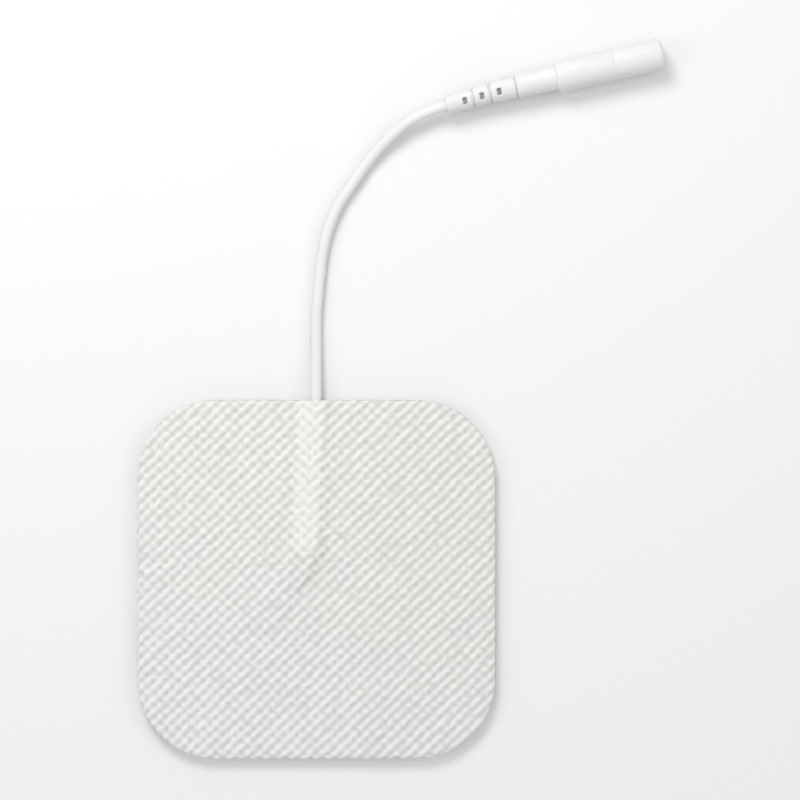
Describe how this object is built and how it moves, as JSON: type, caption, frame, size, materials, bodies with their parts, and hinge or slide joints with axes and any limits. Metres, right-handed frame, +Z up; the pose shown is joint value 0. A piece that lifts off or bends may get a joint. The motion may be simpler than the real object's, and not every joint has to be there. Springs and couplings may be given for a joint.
{
  "type": "electrode pad",
  "caption": "Square self-adhesive stimulation electrode pad with ribbed cloth backing, conductive gel face and a pigtail lead ending in a pin socket.",
  "frame": {"origin": "centre of the pad's gel face, on the surface the pad lies on", "axes": "+Z up out of the backing cloth, +Y from the pad's centre to the side where the lead leaves, +X to the side the socket points to"},
  "size_m": [0.0736, 0.1002, 0.0044],
  "materials": {
    "hydrogel": "clear, tacky gel",
    "carbon_film": "matt black carbon-loaded film",
    "backing_cloth": "white cloth with fine diagonal ribs",
    "lead_pvc": "soft white, satin",
    "moulded_pvc": "moulded white, satin",
    "tinned_copper": "tinned fine wire",
    "nickel_plate": "nickel-plated, bright"
  },
  "bodies": {
    "root": {"gel_layer": "hydrogel", "carbon_film": "carbon_film", "backing_cloth": "backing_cloth", "lead_jacket": "lead_pvc", "strand_1": "tinned_copper", "strand_2": "tinned_copper", "strand_3": "tinned_copper", "strand_4": "tinned_copper", "strand_5": "tinned_copper", "strand_6": "tinned_copper", "strand_7": "tinned_copper", "connector_shell": "moulded_pvc", "contact_socket": "nickel_plate", "conductor_end": "tinned_copper"}
  },
  "joints": []
}
